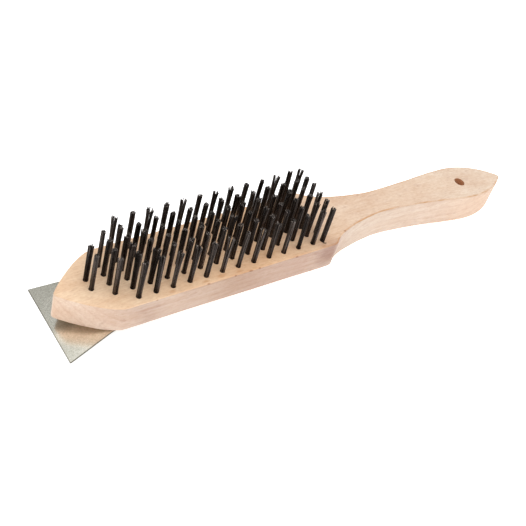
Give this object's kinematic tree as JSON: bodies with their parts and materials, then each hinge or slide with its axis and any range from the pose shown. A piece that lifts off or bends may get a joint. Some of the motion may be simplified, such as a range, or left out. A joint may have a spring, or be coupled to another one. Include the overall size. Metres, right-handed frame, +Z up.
{
  "type": "wire brush",
  "caption": "Wooden hand wire brush with a pointed nose, tufts of steel wire in straight rows, a waisted drooping handle with a hanging hole and a bent steel scraper under the nose.",
  "frame": {"origin": "under the middle of the brush's bounding box, on the ground that the brush lies on", "axes": "+X along the brush from the scraper and nose to the tip of the handle; +Z up, the way the bristles point as the brush lies on its back; Y across the brush, which is symmetric about y = 0"},
  "size_m": [0.2892, 0.047, 0.0476],
  "materials": {
    "wood": "bare pale hardwood, sanded smooth, with fine pores and soft edges",
    "wire": "dark oil-tempered steel wire, slightly glossy",
    "sheet_steel": "dull rolled sheet, satin, with fine scuffs",
    "nail_steel": "bright drawn steel, slightly dulled"
  },
  "bodies": {
    "root": {"board": "wood", "scraper": "sheet_steel", "scraper_nail_1": "nail_steel", "scraper_nail_2": "nail_steel", "scraper_nail_3": "nail_steel", "tufts_01_cd": "wire", "tufts_02_bc": "wire", "tufts_02_de": "wire", "tufts_03_ab": "wire", "tufts_03_cd": "wire", "tufts_03_ef": "wire", "tufts_04_ab": "wire", "tufts_04_cd": "wire", "tufts_04_ef": "wire", "tufts_05_ab": "wire", "tufts_05_cd": "wire", "tufts_05_ef": "wire", "tufts_06_ab": "wire", "tufts_06_cd": "wire", "tufts_06_ef": "wire", "tufts_07_ab": "wire", "tufts_07_cd": "wire", "tufts_07_ef": "wire", "tufts_08_ab": "wire", "tufts_08_cd": "wire", "tufts_08_ef": "wire", "tufts_09_ab": "wire", "tufts_09_cd": "wire", "tufts_09_ef": "wire", "tufts_10_ab": "wire", "tufts_10_cd": "wire", "tufts_10_ef": "wire", "tufts_11_ab": "wire", "tufts_11_cd": "wire", "tufts_11_ef": "wire", "tufts_12_ab": "wire", "tufts_12_cd": "wire", "tufts_12_ef": "wire", "tufts_13_ab": "wire", "tufts_13_cd": "wire", "tufts_13_ef": "wire", "tufts_14_ab": "wire", "tufts_14_cd": "wire", "tufts_14_ef": "wire", "tufts_15_ab": "wire", "tufts_15_cd": "wire", "tufts_15_ef": "wire"}
  },
  "joints": []
}
